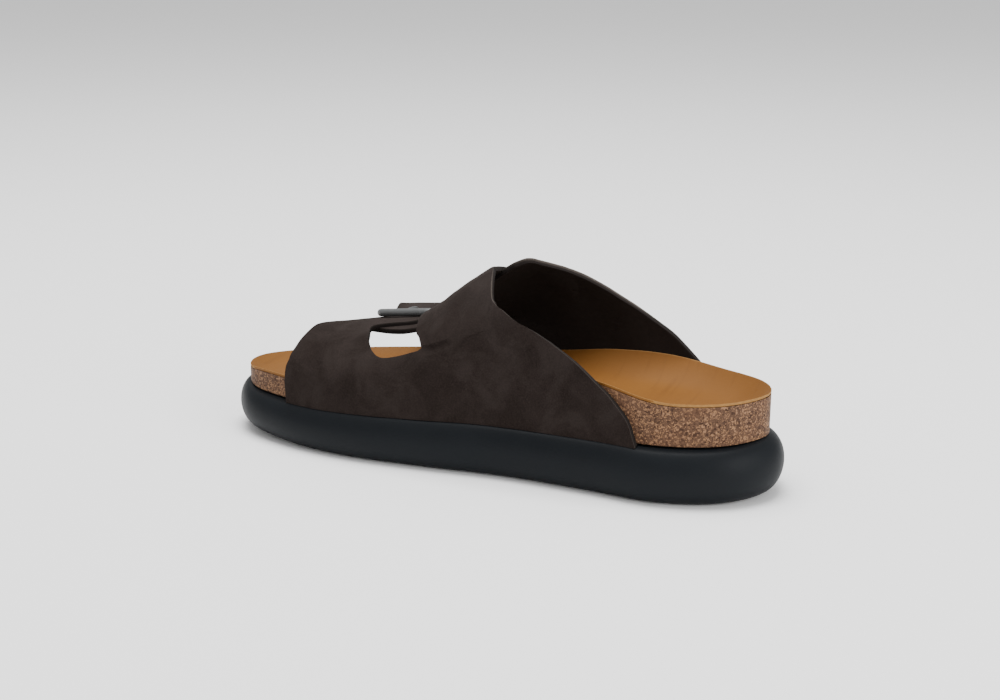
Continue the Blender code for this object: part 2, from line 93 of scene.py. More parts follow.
def addModifier(piece, kind, name, **settings):
    modifier = piece.modifiers.new(name, kind)
    for key, value in settings.items():
        setattr(modifier, key, value)
    return modifier


def bakeModifiers(piece):
    graph = bpy.context.evaluated_depsgraph_get()
    graph.update()
    mesh = bpy.data.meshes.new_from_object(piece.evaluated_get(graph))
    piece.modifiers.clear()
    piece.data = mesh
    return mesh


# A node's loose triangles are merged and turned back to quads: angles in degrees
nodeMerge = {"near": 0.000004, "flat": 40, "square": 60}


def nodeShape(name):
    shape = bmesh.new()
    shape.from_mesh(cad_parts[name].data)
    bmesh.ops.remove_doubles(shape, verts=shape.verts, dist=nodeMerge["near"])
    bmesh.ops.join_triangles(
        shape, faces=shape.faces, angle_face_threshold=radians(nodeMerge["flat"]),
        angle_shape_threshold=radians(nodeMerge["square"]),
        cmp_seam=False, cmp_sharp=False, cmp_uvs=False, cmp_vcols=False, cmp_materials=False,
    )
    for face in shape.faces:
        face.smooth = True
        face.material_index = 0
    return shape


def sharpEdges(edges, degrees):
    inner = [edge for edge in edges if len(edge.link_faces) == 2]
    return [edge for edge in inner if edge.calc_face_angle(0) > radians(degrees)]


def finishShape(shape, name):
    mesh = bpy.data.meshes.new(name)
    shape.to_mesh(mesh)
    shape.free()
    return mesh


# Moulded rubber: nearly black with a blue cast, matt, and a fine mould grain of about 0.5 mm
rubber, tree, shader, where = startMaterial("mouldedRubber", {"Specular IOR Level": 0.09})
cloud = addNode(tree, "TexNoise", None, {"Scale": 38.0, "Detail": 5.0, "Roughness": 0.6},
                {"Vector": where})
tone = addNode(tree, "Mix", {"data_type": "RGBA"}, {6: hexColour("#0f1114"), 7: hexColour("#14171a")},
               {0: cloud.outputs["Fac"]})
tree.links.new(tone.outputs[2], shader.inputs["Base Color"])
dust = addNode(tree, "MapRange", None,
               {"From Min": 0.3, "From Max": 0.7, "To Min": 0.4, "To Max": 0.54},
               {"Value": cloud.outputs["Fac"]})
tree.links.new(dust.outputs["Result"], shader.inputs["Roughness"])
grain = addNode(tree, "TexNoise", None, {"Scale": 1900.0, "Detail": 3.0, "Roughness": 0.55},
                {"Vector": where})
bump = addNode(tree, "Bump", None, {"Strength": 0.25, "Distance": 0.0002},
               {"Height": grain.outputs["Fac"]})
tree.links.new(bump.outputs["Normal"], shader.inputs["Normal"])

# The same rubber on the floor face, moulded with shallow cross grooves 5 mm apart, with painted shade in
# the grooves
tread, tree, shader, where = startMaterial("treadRubber", {"Roughness": 0.66, "Specular IOR Level": 0.2})
lay = addNode(tree, "Mapping", None, {"Rotation": (0.0, 0.0, radians(90))}, {"Vector": where})
groove = addNode(tree, "TexWave", {"wave_type": "BANDS", "bands_direction": "X", "wave_profile": "SIN"},
                 {"Scale": 62.0, "Distortion": 0.0}, {"Vector": lay.outputs["Vector"]})
ridge = addNode(tree, "MapRange", None, {"From Min": 0.25, "From Max": 0.55},
                {"Value": groove.outputs["Fac"]})
# painted shade: darker in the grooves, lighter on the ridges
grooveShade = addNode(tree, "Mix", {"data_type": "RGBA"}, {6: hexColour("#101214"), 7: hexColour("#1e2024")},
               {0: ridge.outputs["Result"]})
tree.links.new(grooveShade.outputs[2], shader.inputs["Base Color"])
bump = addNode(tree, "Bump", None, {"Strength": 0.9, "Distance": 0.0012},
               {"Height": ridge.outputs["Result"]})
tree.links.new(bump.outputs["Normal"], shader.inputs["Normal"])

# Pressed cork under a clear seal: granules of 0.4 and 0.9 mm, some light, some dark
cork, tree, shader, where = startMaterial("pressedCork", {"Roughness": 0.65, "Specular IOR Level": 0.15})
wander = addNode(tree, "TexNoise", None, {"Scale": 700.0, "Detail": 2.0}, {"Vector": where})
bent = addNode(tree, "VectorMath", {"operation": "MULTIPLY_ADD"}, {1: (0.0012, 0.0012, 0.0012)},
               {0: wander.outputs["Color"], 2: where})
coarse = addNode(tree, "TexVoronoi", None, {"Scale": 1150.0}, {"Vector": bent.outputs["Vector"]})
small = addNode(tree, "TexVoronoi", None, {"Scale": 2300.0}, {"Vector": bent.outputs["Vector"]})
coarsePick = addNode(tree, "SeparateColor", None, None, {0: coarse.outputs["Color"]})
smallPick = addNode(tree, "SeparateColor", None, None, {0: small.outputs["Color"]})
body = addNode(tree, "Mix", {"data_type": "RGBA"}, {6: hexColour("#443024"), 7: hexColour("#5f4533")},
               {0: smallPick.outputs[0]})
speckPick = addNode(tree, "MapRange", None, {"From Min": 0.8, "From Max": 0.9, "To Max": 0.8},
                    {"Value": smallPick.outputs[1]})
withSpecks = addNode(tree, "Mix", {"data_type": "RGBA"}, {7: hexColour("#9a7350")},
                     {0: speckPick.outputs["Result"], 6: body.outputs[2]})
lightPick = addNode(tree, "MapRange", None, {"From Min": 0.8, "From Max": 0.92, "To Max": 0.85},
                    {"Value": coarsePick.outputs[0]})
withLight = addNode(tree, "Mix", {"data_type": "RGBA"}, {7: hexColour("#8d6a4e")},
                    {0: lightPick.outputs["Result"], 6: withSpecks.outputs[2]})
darkPick = addNode(tree, "MapRange", None, {"From Min": 0.78, "From Max": 0.9, "To Max": 0.8},
                   {"Value": coarsePick.outputs[1]})
withDark = addNode(tree, "Mix", {"data_type": "RGBA"}, {7: hexColour("#2f1d14")},
                   {0: darkPick.outputs["Result"], 6: withLight.outputs[2]})
area = addNode(tree, "TexNoise", None, {"Scale": 45.0, "Detail": 2.0}, {"Vector": where})
areaPick = addNode(tree, "MapRange", None, {"From Min": 0.4, "From Max": 0.65, "To Max": 0.35},
                   {"Value": area.outputs["Fac"]})
corkTone = addNode(tree, "Mix", {"data_type": "RGBA"}, {7: hexColour("#573a28")},
                   {0: areaPick.outputs["Result"], 6: withDark.outputs[2]})
tree.links.new(corkTone.outputs[2], shader.inputs["Base Color"])
crumb = addNode(tree, "Math", {"operation": "ADD"}, None,
                {0: coarse.outputs["Distance"], 1: small.outputs["Distance"]})
bump = addNode(tree, "Bump", {"invert": True}, {"Strength": 0.35, "Distance": 0.0003},
               {"Height": crumb.outputs["Value"]})
tree.links.new(bump.outputs["Normal"], shader.inputs["Normal"])

# Vegetable tanned lining leather: warm tan, soft satin, fine pores and faint creases
tan, tree, shader, where = startMaterial("liningLeather", {"Roughness": 0.6, "Specular IOR Level": 0.12})
blotch = addNode(tree, "TexNoise", None, {"Scale": 26.0, "Detail": 5.0, "Roughness": 0.55},
                 {"Vector": where})
base = addNode(tree, "Mix", {"data_type": "RGBA"}, {6: hexColour("#6a431a"), 7: hexColour("#7b5225")},
               {0: blotch.outputs["Fac"]})
stretch = addNode(tree, "Mapping", None, {"Scale": (30.0, 260.0, 30.0)}, {"Vector": where})
scratch = addNode(tree, "TexNoise", None, {"Scale": 1.0, "Detail": 3.0, "Roughness": 0.6},
                  {"Vector": stretch.outputs["Vector"]})
scratchPick = addNode(tree, "MapRange", None, {"From Min": 0.56, "From Max": 0.72, "To Max": 0.25},
                      {"Value": scratch.outputs["Fac"]})
marked = addNode(tree, "Mix", {"data_type": "RGBA"}, {7: hexColour("#5a3716")},
                 {0: scratchPick.outputs["Result"], 6: base.outputs[2]})
tree.links.new(marked.outputs[2], shader.inputs["Base Color"])
pores = addNode(tree, "TexNoise", None, {"Scale": 1500.0, "Detail": 4.0, "Roughness": 0.6},
                {"Vector": where})
hide = addNode(tree, "Math", {"operation": "MULTIPLY_ADD"}, {1: -0.7},
               {0: scratchPick.outputs["Result"], 2: pores.outputs["Fac"]})
bump = addNode(tree, "Bump", None, {"Strength": 0.3, "Distance": 0.00025},
               {"Height": hide.outputs["Value"]})
tree.links.new(bump.outputs["Normal"], shader.inputs["Normal"])

# The cut edge of the lining leather, paler and fibrous
tanEdge, tree, shader, where = startMaterial("leatherCutEdge", {
    "Roughness": 0.8, "Specular IOR Level": 0.25,
})
fibre = addNode(tree, "TexNoise", None, {"Scale": 700.0, "Detail": 4.0}, {"Vector": where})
pale = addNode(tree, "Mix", {"data_type": "RGBA"}, {6: hexColour("#7c552c"), 7: hexColour("#96703f")},
               {0: fibre.outputs["Fac"]})
tree.links.new(pale.outputs[2], shader.inputs["Base Color"])

# Nubuck, sanded grain leather: dark brown, no gloss, a faint pale bloom at grazing angles,
# and soft lighter patches on the strap tops, part brushed nap and part painted highlight
nubuck, tree, shader, where = startMaterial("brushedNubuck", {
    "Roughness": 0.95, "Specular IOR Level": 0.06, "Sheen Weight": 0.1, "Sheen Roughness": 0.4,
    "Sheen Tint": hexColour("#a89890"),
})
patch = addNode(tree, "TexNoise", None,
                {"Scale": 60.0, "Detail": 6.0, "Roughness": 0.62, "Distortion": 0.6},
                {"Vector": where})
patchPick = addNode(tree, "MapRange", {"interpolation_type": "SMOOTHSTEP"},
                    {"From Min": 0.33, "From Max": 0.68}, {"Value": patch.outputs["Fac"]})
napBase = addNode(tree, "Mix", {"data_type": "RGBA"}, {6: hexColour("#1b1513"), 7: hexColour("#26201e")},
                  {0: patchPick.outputs["Result"]})
nap = addNode(tree, "TexNoise", None, {"Scale": 1500.0, "Detail": 4.0, "Roughness": 0.65},
              {"Vector": where})
napPick = addNode(tree, "MapRange", None, {"From Min": 0.4, "From Max": 0.75, "To Max": 0.3},
                  {"Value": nap.outputs["Fac"]})
napTone = addNode(tree, "Mix", {"data_type": "RGBA"}, {7: hexColour("#38302c")},
                  {0: napPick.outputs["Result"], 6: napBase.outputs[2]})
# pale patches on the strap tops: part brushed nap, part painted highlight
bloomAndHighlight = addNode(tree, "Attribute", {"attribute_name": "bloomAndHighlight"})
bloomAndHighlightTone = addNode(tree, "Mix", {"data_type": "RGBA"}, {7: hexColour("#5a5351")},
                    {0: bloomAndHighlight.outputs["Fac"], 6: napTone.outputs[2]})
tree.links.new(bloomAndHighlightTone.outputs[2], shader.inputs["Base Color"])
napHeight = addNode(tree, "Math", {"operation": "MULTIPLY_ADD"}, {1: 2.5},
                    {0: patch.outputs["Fac"], 2: nap.outputs["Fac"]})
bump = addNode(tree, "Bump", None, {"Strength": 0.3, "Distance": 0.0003},
               {"Height": napHeight.outputs["Value"]})
tree.links.new(bump.outputs["Normal"], shader.inputs["Normal"])

# Lining of the straps: the flesh side, dyed near black and glued smooth
lining, tree, shader, where = startMaterial("dyedLining", {"Roughness": 0.85, "Specular IOR Level": 0.15})
felt = addNode(tree, "TexNoise", None, {"Scale": 500.0, "Detail": 5.0, "Roughness": 0.65},
               {"Vector": where})
feltTone = addNode(tree, "Mix", {"data_type": "RGBA"}, {6: hexColour("#15110f"), 7: hexColour("#221c19")},
                   {0: felt.outputs["Fac"]})
tree.links.new(feltTone.outputs[2], shader.inputs["Base Color"])
bump = addNode(tree, "Bump", None, {"Strength": 0.3, "Distance": 0.0002},
               {"Height": felt.outputs["Fac"]})
tree.links.new(bump.outputs["Normal"], shader.inputs["Normal"])

# Raw cut edge of the nubuck: fibrous, paler on the grain side and dark toward the lining; the dark toward
# the lining is partly the dyed lining and partly painted shade under the strap's edge
rawEdge, tree, shader, where = startMaterial("rawCutEdge", {"Roughness": 0.9, "Specular IOR Level": 0.15})
fibre = addNode(tree, "TexNoise", None, {"Scale": 900.0, "Detail": 5.0, "Roughness": 0.7},
                {"Vector": where})
edgeTone = addNode(tree, "Mix", {"data_type": "RGBA"}, {6: hexColour("#2c2623"), 7: hexColour("#5e5650")},
                   {0: fibre.outputs["Fac"]})
layer = addNode(tree, "Attribute", {"attribute_name": "layer"})
layerPick = addNode(tree, "MapRange", None, {"From Min": 0.38, "From Max": 0.9},
                    {"Value": layer.outputs["Fac"]})
# painted shade: the edge darkens toward the lining side, below the strap's edge
layerTone = addNode(tree, "Mix", {"data_type": "RGBA"}, {6: hexColour("#1b1614")},
                    {0: layerPick.outputs["Result"], 7: edgeTone.outputs[2]})
tree.links.new(layerTone.outputs[2], shader.inputs["Base Color"])
bump = addNode(tree, "Bump", None, {"Strength": 0.5, "Distance": 0.0003},
               {"Height": fibre.outputs["Fac"]})
tree.links.new(bump.outputs["Normal"], shader.inputs["Normal"])

# Lacquered steel rod: dark grey, satin
lacquer, tree, shader, where = startMaterial("satinLacquer", {
    "Specular IOR Level": 0.5, "Coat Weight": 0.15, "Coat Roughness": 0.3,
})
wear = addNode(tree, "TexNoise", None, {"Scale": 300.0, "Detail": 4.0}, {"Vector": where})
wearRough = addNode(tree, "MapRange", None, {"To Min": 0.34, "To Max": 0.52},
                    {"Value": wear.outputs["Fac"]})
tree.links.new(wearRough.outputs["Result"], shader.inputs["Roughness"])
wearTone = addNode(tree, "Mix", {"data_type": "RGBA"}, {6: hexColour("#404141"), 7: hexColour("#515252")},
                   {0: wear.outputs["Fac"]})
tree.links.new(wearTone.outputs[2], shader.inputs["Base Color"])
print("materials made")

# Sole, cork and insole are rounded from their CAD nodes
soleLook = {"treadFacing": -0.96, "treadBelow": 0.006, "swell": 0.00035}
shape = nodeShape("outsole")
bottom = min(vert.co.z for vert in shape.verts)
for vert in shape.verts:
    if vert.co.z > bottom + soleLook["swell"]:
        vert.co += vert.normal * soleLook["swell"]
for face in shape.faces:
    if face.normal.z < soleLook["treadFacing"] and face.calc_center_median().z < soleLook["treadBelow"]:
        face.material_index = 1
outsole = addPiece("outsoleRubber", finishShape(shape, "outsoleRubber"), [rubber, tread],
                   ["outsole"])
addModifier(outsole, "SUBSURF", "round", levels=2, render_levels=2)
print("outsole")

corkLook = {"edge": 0.0003, "sharp": 42}
shape = nodeShape("cork_midsole")
bmesh.ops.bevel(shape, geom=sharpEdges(shape.edges, corkLook["sharp"]), offset=corkLook["edge"],
                affect="EDGES", segments=2, profile=0.5, material=-1)
corkBlock = addPiece("corkBlock", finishShape(shape, "corkBlock"), [cork], ["cork_midsole"])
addModifier(corkBlock, "SUBSURF", "round", levels=2, render_levels=2)
print("cork")

# Small steep faces between sharp edges are the cut edge
insoleLook = {"edge": 0.0003, "sharp": 42, "steep": 0.5, "narrow": 0.00002}
shape = nodeShape("insole")
for face in shape.faces:
    isEdge = abs(face.normal.z) < insoleLook["steep"] and face.calc_area() < insoleLook["narrow"]
    if isEdge and len(sharpEdges(face.edges, insoleLook["sharp"])) >= 2:
        face.material_index = 1
bmesh.ops.bevel(shape, geom=sharpEdges(shape.edges, insoleLook["sharp"]), offset=insoleLook["edge"],
                affect="EDGES", segments=2, profile=0.5, material=1)
insoleTop = addPiece("insoleLeather", finishShape(shape, "insoleLeather"), [tan, tanEdge],
                     ["insole"])
addModifier(insoleTop, "SUBSURF", "round", levels=2, render_levels=2)
print("insole")

# The last that the straps lie on, with the sizes of the CAD
last = {
    "length": 0.270, "width": 0.1008, "soleHeel": 0.0256, "soleMiddle": 0.0249, "soleToe": 0.0190,
    "toeSpring": 0.0040, "toeSpringFrom": 0.74, "heelSpring": 0.0020, "heelSpringTo": 0.12,
    "bulge": 0.0091, "ledge": 0.0069, "toeNarrow": 0.30, "toeFrom": 0.86,
    "thickStations": (0.0, 0.5, 0.75, 1.0),
    "rimHeight": 0.0194, "wall": 0.0024, "instep": 0.0970, "rimTuck": 0.0020, "gap": 0.0003,
    "fuse": 0.0006, "rod": 0.0035, "pitch": 0.0165, "sideShare": 0.75,
    "blendFrom": 0.537, "blendTo": 0.300, "archFlat": 0.0008, "archReach": 0.0092, "archPast": 0.3,
    "liftFrom": 0.45, "liftTo": 0.16,
    # the steps to each side for a normal, the place a section starts from, and its parts
    "stationStep": 0.004, "placeStep": 0.012, "sectionFrom": 0.4, "sectionParts": 400,
    # station from the heel, offset
    "outline": [
        (0.0, 0.0), (0.045, 0.239), (0.160, 0.386), (0.280, 0.381), (0.430, 0.386), (0.570, 0.440),
        (0.720, 0.475), (0.860, 0.428), (0.955, 0.314), (1.0, 0.097), (0.955, -0.220), (0.860, -0.399),
        (0.740, -0.499), (0.630, -0.525), (0.460, -0.465), (0.330, -0.416), (0.160, -0.393),
        (0.045, -0.244),
    ],
    # station, inner rim, outer rim
    "rims": [
        (0.000, 1.000, 1.000), (0.150, 1.000, 1.000), (0.200, 1.100, 1.070), (0.240, 1.230, 1.130),
        (0.290, 1.350, 1.140), (0.360, 1.410, 1.060), (0.450, 1.290, 0.820), (0.550, 0.990, 0.630),
        (0.650, 0.670, 0.540), (0.750, 0.540, 0.490), (0.850, 0.590, 0.430), (0.930, 0.580, 0.320),
        (0.960, 0.500, 0.320), (1.000, 0.400, 0.400),
    ],
    # station, crown height, squareness
    "crown": [
        (0.150, 0.900, 1.85), (0.260, 0.970, 1.85), (0.315, 0.995, 1.90), (0.370, 1.000, 1.95),
        (0.407, 0.993, 2.00), (0.444, 0.974, 2.05), (0.481, 0.938, 2.10), (0.500, 0.910, 2.15),
        (0.522, 0.873, 2.15), (0.548, 0.819, 2.20), (0.570, 0.766, 2.20), (0.593, 0.718, 2.20),
        (0.622, 0.658, 2.25), (0.637, 0.631, 2.30), (0.667, 0.590, 2.35), (0.704, 0.559, 2.45),
        (0.741, 0.536, 2.50), (0.790, 0.526, 2.50), (0.852, 0.517, 2.50), (0.920, 0.498, 2.50),
    ],
    # station, crown height of the front strap
    "frontCrown": [(0.560, 0.604), (0.740, 0.536), (0.790, 0.526), (0.852, 0.517)],
    # station, place of the upper bar, height of the frame off the leather, slack over the hinge bar
    "buckleFront": (0.7095, -0.055, 0.0003, 0.0006), "buckleRear": (0.5620, -0.290, 0.0012, 0.0014),
}

# Straps: place round the foot from inner base 1 over the crown 0 to outer base -1, front edge, rear edge
straps = {
    "innerFront": [
        (1.000, 0.8425, 0.590), (0.750, 0.8445, 0.590), (0.600, 0.844, 0.590), (0.537, 0.8415, 0.590),
        (0.5245, 0.8415, 0.606), (0.510, 0.842, 0.6255), (0.498, 0.842, 0.643), (0.482, 0.842, 0.655),
        (0.457, 0.842, 0.665), (0.425, 0.8415, 0.674), (0.385, 0.841, 0.683), (0.350, 0.841, 0.691),
        (0.300, 0.841, 0.700), (0.225, 0.841, 0.7145), (0.190, 0.842, 0.7185), (0.145, 0.844, 0.7265),
        (0.100, 0.845, 0.7345), (0.075, 0.842, 0.7375), (0.058, 0.837, 0.736), (0.045, 0.831, 0.730),
        (0.034, 0.826, 0.717), (0.026, 0.821, 0.701), (0.018, 0.815, 0.685), (0.008, 0.808, 0.674),
        (-0.010, 0.796, 0.667), (-0.040, 0.774, 0.664), (-0.080, 0.757, 0.662), (-0.120, 0.752, 0.662),
        (-0.480, 0.752, 0.662), (-0.530, 0.748, 0.667), (-0.560, 0.738, 0.677), (-0.575, 0.723, 0.692),
    ],
    "innerRear": [
        (1.000, 0.590, 0.1985), (0.900, 0.590, 0.2095), (0.854, 0.590, 0.2185), (0.776, 0.590, 0.248),
        (0.740, 0.590, 0.268), (0.690, 0.590, 0.292), (0.650, 0.590, 0.316), (0.620, 0.590, 0.339),
        (0.568, 0.590, 0.377), (0.555, 0.590, 0.386), (0.545, 0.590, 0.395), (0.537, 0.590, 0.402),
        (0.531, 0.5835, 0.407), (0.522, 0.5815, 0.414), (0.500, 0.5835, 0.428), (0.460, 0.5895, 0.446),
        (0.425, 0.5945, 0.461), (0.385, 0.603, 0.472), (0.333, 0.609, 0.478), (0.250, 0.616, 0.485),
        (0.170, 0.625, 0.493), (0.100, 0.631, 0.503), (0.020, 0.634, 0.521), (-0.050, 0.632, 0.526),
        (-0.120, 0.629, 0.527), (-0.165, 0.626, 0.526), (-0.200, 0.620, 0.526), (-0.230, 0.612, 0.531),
        (-0.300, 0.602, 0.530), (-0.450, 0.594, 0.524), (-0.600, 0.586, 0.516), (-0.660, 0.581, 0.513),
        (-0.690, 0.571, 0.517), (-0.710, 0.560, 0.527), (-0.718, 0.549, 0.538),
    ],
    "outerFront": [
        (-1.000, 0.722, 0.625), (-0.750, 0.724, 0.625), (-0.600, 0.726, 0.625), (-0.555, 0.728, 0.625),
        (-0.540, 0.729, 0.631), (-0.520, 0.730, 0.635), (-0.490, 0.732, 0.638), (-0.450, 0.736, 0.640),
        (-0.400, 0.742, 0.641), (-0.300, 0.754, 0.642), (-0.200, 0.764, 0.642), (-0.100, 0.770, 0.643),
        (0.000, 0.766, 0.645), (0.015, 0.760, 0.647), (0.030, 0.751, 0.649), (0.041, 0.737, 0.6515),
        (0.060, 0.715, 0.657), (0.072, 0.704, 0.664), (0.080, 0.695, 0.669), (0.086, 0.684, 0.676),
    ],
    "outerRear": [
        (-1.000, 0.625, 0.190), (-0.740, 0.625, 0.192), (-0.690, 0.625, 0.212), (-0.637, 0.625, 0.234),
        (-0.600, 0.625, 0.252), (-0.555, 0.625, 0.280), (-0.540, 0.620, 0.289), (-0.520, 0.617, 0.301),
        (-0.480, 0.616, 0.328), (-0.430, 0.617, 0.360), (-0.360, 0.620, 0.399), (-0.300, 0.623, 0.434),
        (-0.255, 0.624, 0.455), (-0.200, 0.624, 0.470), (-0.160, 0.618, 0.475), (-0.130, 0.605, 0.481),
        (-0.112, 0.590, 0.487), (-0.100, 0.568, 0.504),
    ],
    "frontColumns": 8, "rearColumns": 12, "rowStep": 0.0625, "tongueStep": 0.016,
    # the steps down the tongue, the least share of a step between rows, how near points are welded
    "tongueSteps": (-33, 8), "closest": 0.45, "weld": 0.00006,
}


def outlinePoints(count=960):
    stations, offsets = np.array(last["outline"]).T
    points = np.column_stack((offsets * last["width"], last["length"] * (0.5 - stations)))
    after = np.roll(points, -1, axis=0)
    steps = np.sqrt(np.linalg.norm(after - points, axis=1))
    before = np.roll(steps, 1)
    slopes = (after - points) / steps[:, None]
    weight = (before / (before + steps))[:, None]
    tangents = np.roll(slopes, 1, axis=0) * (1 - weight) + slopes * weight
    knots = np.concatenate(([0], np.cumsum(steps)))
    along = np.linspace(0, knots[-1], count, endpoint=False)
    at = np.clip(np.searchsorted(knots, along, side="right") - 1, 0, len(points) - 1)
    step = steps[at][:, None]
    t = (along - knots[at])[:, None] / step
    then = (at + 1) % len(points)
    curve = (
        (2 * t ** 3 - 3 * t ** 2 + 1) * points[at] + (t ** 3 - 2 * t ** 2 + t) * step * tangents[at]
        + (3 * t ** 2 - 2 * t ** 3) * points[then] + (t ** 3 - t ** 2) * step * tangents[then]
    )
    return curve - (curve.max(axis=0) + curve.min(axis=0)) / 2


outline = outlinePoints()
run = np.roll(outline, -1, axis=0) - np.roll(outline, 1, axis=0)
outward = np.column_stack((-run[:, 1], run[:, 0]))
outward /= np.linalg.norm(outward, axis=1)[:, None]
outward = outward if outward[len(outward) // 4, 0] > 0 else -outward
wallInset = last["ledge"] - last["gap"] - last["wall"]
toeShare = smooth((0.5 - outline[:, 1] / last["length"] - last["toeFrom"]) / (1 - last["toeFrom"]))
wallCurve = outline - outward * (wallInset * (1 - last["toeNarrow"] * toeShare))[:, None]
innerWall = wallCurve[wallCurve[:, 0] > 0]
outerWall = wallCurve[wallCurve[:, 0] <= 0]
innerWall = innerWall[np.argsort(innerWall[:, 1])]
outerWall = outerWall[np.argsort(outerWall[:, 1])]
roundEnd = acos(1 - (last["ledge"] - last["gap"]) / last["bulge"])


def soleHeight(y, inset):
    s = 0.5 - y / last["length"]
    toeFrom, heelTo = last["toeSpringFrom"], last["heelSpringTo"]
    spring = np.maximum(0, (s - toeFrom) / (1 - toeFrom)) ** 2 * last["toeSpring"]
    spring = spring + np.maximum(0, (heelTo - s) / heelTo) ** 2 * last["heelSpring"]
    between = (last["soleMiddle"] + last["soleToe"]) / 2
    thick = np.interp(s, last["thickStations"],
                      [last["soleHeel"], last["soleMiddle"], between, last["soleToe"]])
    across = min(max((last["bulge"] - inset) / last["bulge"], cos(roundEnd)), 1.0)
    return spring + thick / (1 + sin(roundEnd)) * (1 + (1 - across * across) ** 0.5)


def lastPoint(station, place, isFront):
    station, place = np.broadcast_arrays(np.asarray(station, float), np.asarray(place, float))
    y = last["length"] * (0.5 - station)
    inner = np.interp(y, innerWall[:, 1], innerWall[:, 0])
    outer = np.interp(y, outerWall[:, 1], outerWall[:, 0])
    wall = np.where(place >= 0, inner, outer)
    centre = (inner + outer) / 4
    rims = np.where(place >= 0, pick(last["rims"], 1, station), pick(last["rims"], 2, station))
    rim = soleHeight(y, last["ledge"]) + last["rimHeight"] * rims - last["rimTuck"]
    crown = pick(last["crown"], 1, station)
    if isFront:
        share = smooth((last["blendFrom"] - np.abs(place)) / (last["blendFrom"] - last["blendTo"]))
        crown = crown - np.maximum(0, crown - pick(last["frontCrown"], 1, station)) * share
    around = np.abs(place)
    turn = (1 - np.minimum(around, last["sideShare"]) / last["sideShare"]) * pi / 2
    power = 2 / pick(last["crown"], 2, station)
    x = centre + (wall - centre) * np.maximum(np.cos(turn), 0) ** power
    z = rim + (crown * last["instep"] - rim) * np.sin(turn) ** power
    low = (around - last["sideShare"]) / (1 - last["sideShare"])
    foot = soleHeight(y, wallInset) + last["gap"]
    isWall = around >= last["sideShare"]
    height = np.where(isWall, rim + (foot - rim) * low, z)
    return np.stack((np.where(isWall, wall, x), y, height), axis=-1)


def lastNormal(station, place, isFront):
    step, turn = last["stationStep"], last["placeStep"]
    along = lastPoint(station + step, place, isFront) - lastPoint(station - step, place, isFront)
    low, high = np.maximum(place - turn, -1.0), np.minimum(place + turn, 1.0)
    around = lastPoint(station, high, isFront) - lastPoint(station, low, isFront)
    normal = np.cross(along, around)
    normal /= np.linalg.norm(normal, axis=-1)[..., None]
    point = lastPoint(station, place, isFront)
    y = point[..., 1]
    away = point - np.stack((np.zeros_like(y), y, soleHeight(y, last["ledge"])), axis=-1)
    return normal * np.where((normal * away).sum(axis=-1) > 0, 1, -1)[..., None]


def sectionLengths(station, isFront):  # length round the section from the inner side to each place
    places = np.linspace(last["sectionFrom"], -last["sideShare"], last["sectionParts"])
    points = lastPoint(station, places, isFront)
    lengths = np.concatenate(([0], np.cumsum(np.linalg.norm(np.diff(points, axis=0), axis=1))))
    return places[::-1], lengths[::-1]


def hingePlace(buckle, isFront):
    places, lengths = sectionLengths(buckle[0], isFront)
    start = np.interp(buckle[1], places, lengths)
    return float(np.interp(start + last["pitch"], lengths[::-1], places[::-1]))


def tongueLift(place, buckle, isFront):
    places, lengths = sectionLengths(buckle[0], isFront)
    hinge = hingePlace(buckle, isFront)
    distance = np.abs(np.interp(place, places, lengths) - np.interp(hinge, places, lengths))
    share = smooth((last["archReach"] - distance) / (last["archReach"] - last["archFlat"]))
    arch = share * (buckle[2] + buckle[3] + last["rod"] + 2 * last["gap"] + last["fuse"])
    arch = np.where(place < hinge + last["archPast"], arch, 0)
    lifted = smooth((last["liftFrom"] - place) / (last["liftFrom"] - last["liftTo"]))
    return lifted * (last["wall"] - last["fuse"]) + arch


def strapPlaces(table, other, isTongue):
    joined = {row[0] for row in table + other if abs(row[0]) >= last["blendFrom"]}
    own = {row[0] for row in table}
    places = sorted(joined | own)
    count = round(1 / straps["rowStep"])
    even = [i * straps["rowStep"] for i in range(-count, count + 1)]
    if isTongue:
        even = [i * straps["tongueStep"] for i in range(*straps["tongueSteps"])] + even
    for value in even:
        clear = min(abs(value - place) for place in places)
        if min(own) < value < max(own) and clear > straps["tongueStep"] * straps["closest"]:
            places.append(value)
    return np.array(sorted(p for p in places if min(own) <= p <= max(own)))


def addStrap(shape, table, other, columns, isFront, buckle):
    places = strapPlaces(table, other, buckle is not None)
    rows = len(places)
    made = bmesh.ops.create_grid(shape, x_segments=rows - 1, y_segments=columns, size=0.5)
    share = np.linspace(0, 1, columns + 1)
    front, rear = pick(table, 1, places)[:, None], pick(table, 2, places)[:, None]
    stations = front + (rear - front) * share[None, :]
    placeGrid = np.repeat(places[:, None], columns + 1, axis=1)
    points = lastPoint(stations, placeGrid, isFront)
    if buckle:
        lift = tongueLift(placeGrid, buckle, isFront)[..., None]
        points = points + lastNormal(stations, placeGrid, isFront) * lift
    for vert in made["verts"]:
        row = round((vert.co.x + 0.5) * (rows - 1))
        at = round((vert.co.y + 0.5) * columns)
        vert.co = points[row, at]


def makeSheet(name, blocks):
    shape = bmesh.new()
    for block in blocks:
        addStrap(shape, *block)
    bmesh.ops.remove_doubles(shape, verts=shape.verts, dist=straps["weld"])
    bmesh.ops.recalc_face_normals(shape, faces=shape.faces)
    crown = max(shape.faces, key=lambda face: face.calc_center_median().z)
    if crown.normal.z < 0:
        bmesh.ops.reverse_faces(shape, faces=shape.faces)
    for face in shape.faces:
        face.smooth = True
    return finishShape(shape, name)
